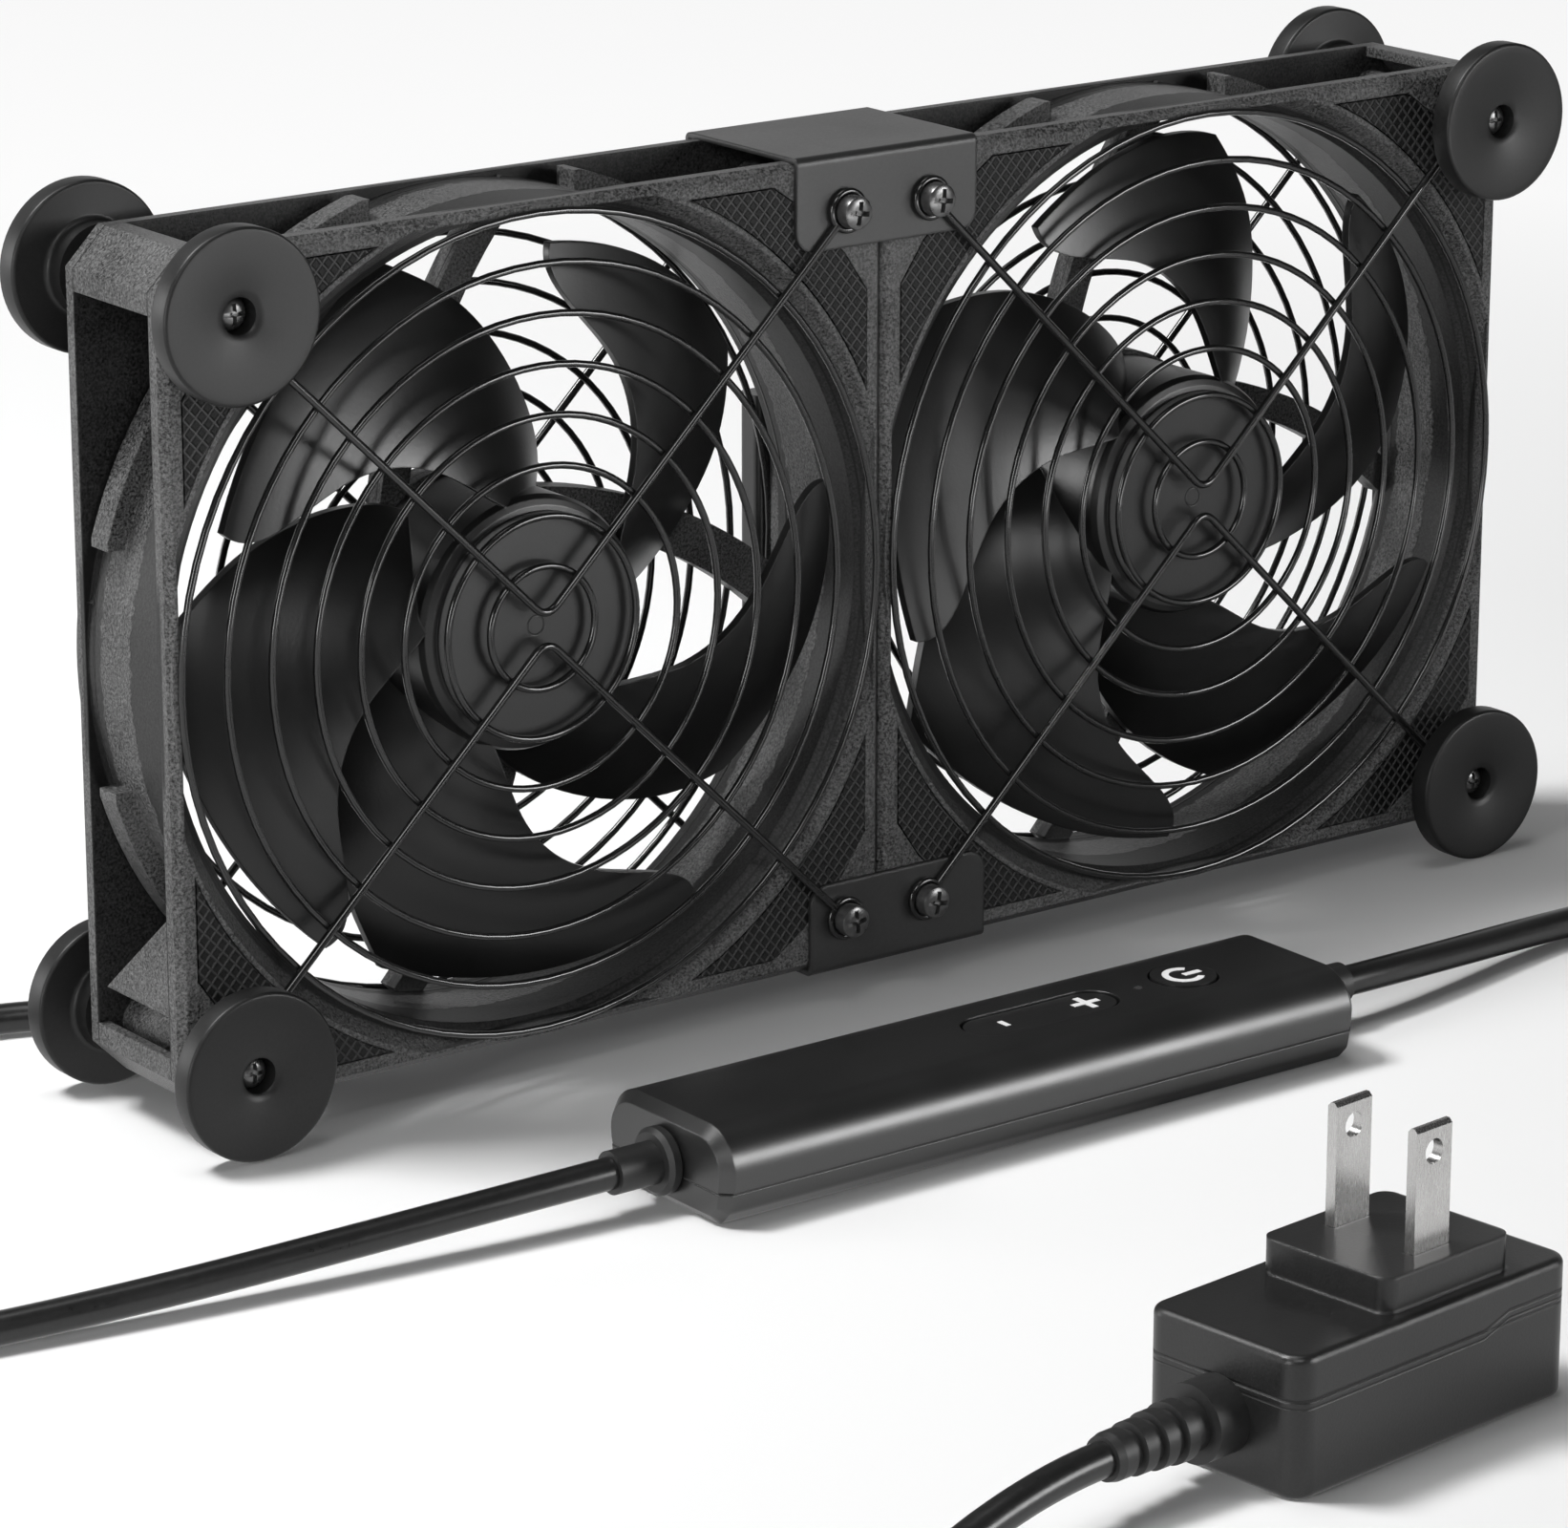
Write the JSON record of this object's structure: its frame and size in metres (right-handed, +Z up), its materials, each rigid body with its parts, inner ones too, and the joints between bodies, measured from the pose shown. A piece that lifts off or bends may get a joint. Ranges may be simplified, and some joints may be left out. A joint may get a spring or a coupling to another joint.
{
  "type": "dual cooling fan",
  "caption": "Side-by-side axial cooling fan unit with wire guards and rubber corner feet, wired through an inline speed controller to a plug-in mains adapter.",
  "frame": {"origin": "centre of the fan pair's footprint, on the surface that its lower feet stand on", "axes": "+X runs along the pair from the left fan to the right fan, +Y points from the front guards to the rear guards, +Z is up"},
  "size_m": [0.3643, 0.3064, 0.129],
  "materials": {
    "frame_plastic": "fine grained moulded black",
    "impeller_plastic": "satin moulded black",
    "pad_rubber": "matt diamond-hatched black",
    "guard_wire": "gloss black coated wire",
    "motor_steel": "plain steel",
    "magnet": "plastic-bonded ferrite",
    "bearing_bronze": "sintered bronze",
    "copper": "enamelled copper",
    "circuit_board": "solder mask",
    "cord_jacket": "soft black jacket",
    "bracket_steel": "satin black powder coat",
    "screw_steel": "black zinc",
    "foot_rubber": "matt black",
    "boot_rubber": "matt black",
    "controller_plastic": "fine matt black",
    "button_plastic": "satin black",
    "lens": "clear",
    "adapter_plastic": "fine matt black",
    "plug_metal": "nickel plated brass"
  },
  "bodies": {
    "housing": {"adapter_boot": "boot_rubber", "adapter_cord": "cord_jacket", "adapter_cord_coil": "cord_jacket", "adapter_cord_tail": "cord_jacket", "adapter_front_shell": "adapter_plastic", "adapter_rear_shell": "adapter_plastic", "bottom_bracket": "bracket_steel", "bracket_screws": "screw_steel", "coil_tie": "boot_rubber", "controller_board": "circuit_board", "controller_lower_shell": "controller_plastic", "controller_upper_shell": "controller_plastic", "cord_boot_left": "boot_rubber", "cord_boot_right": "boot_rubber", "fan_cord": "cord_jacket", "foot_screws": "screw_steel", "foot_washers": "foot_rubber", "lead_sleeve": "cord_jacket", "left_bearing": "bearing_bronze", "left_corner_pads": "pad_rubber", "left_fan_frame": "frame_plastic", "left_front_guard": "guard_wire", "left_motor_board": "circuit_board", "left_motor_lead": "cord_jacket", "left_rear_guard": "guard_wire", "left_stator_coils": "copper", "left_stator_core": "motor_steel", "plug_blades": "plug_metal", "right_bearing": "bearing_bronze", "right_corner_pads": "pad_rubber", "right_fan_frame": "frame_plastic", "right_front_guard": "guard_wire", "right_motor_board": "circuit_board", "right_motor_lead": "cord_jacket", "right_rear_guard": "guard_wire", "right_stator_coils": "copper", "right_stator_core": "motor_steel", "rubber_feet": "foot_rubber", "status_lens": "lens", "top_bracket": "bracket_steel"},
    "left_rotor": {"left_impeller": "impeller_plastic", "left_rotor_yoke": "motor_steel", "left_rotor_magnet": "magnet", "left_shaft": "motor_steel", "left_shaft_clip": "motor_steel"},
    "right_rotor": {"right_impeller": "impeller_plastic", "right_rotor_yoke": "motor_steel", "right_rotor_magnet": "magnet", "right_shaft": "motor_steel", "right_shaft_clip": "motor_steel"},
    "rocker": {"speed_rocker": "button_plastic"},
    "power_key": {"power_button": "button_plastic"}
  },
  "joints": [
    {"name": "left_spin", "type": "hinge", "parent": "housing", "child": "left_rotor", "pos_m": [-0.06, 0, 0.0645], "axis": [0, -1, 0], "continuous": true},
    {"name": "right_spin", "type": "hinge", "parent": "housing", "child": "right_rotor", "pos_m": [0.06, 0, 0.0645], "axis": [0, -1, 0], "continuous": true},
    {"name": "speed_tilt", "type": "hinge", "parent": "housing", "child": "rocker", "pos_m": [-0.01415, -0.0667, 0.0106], "axis": [0, 1, 0], "range_deg": [-2.5, 2.5], "stiffness_Nm_per_rad": 0.05},
    {"name": "power_press", "type": "slide", "parent": "housing", "child": "power_key", "axis": [0, 0, -1], "range_m": [0, 0.0006], "stiffness_N_per_m": 400}
  ]
}
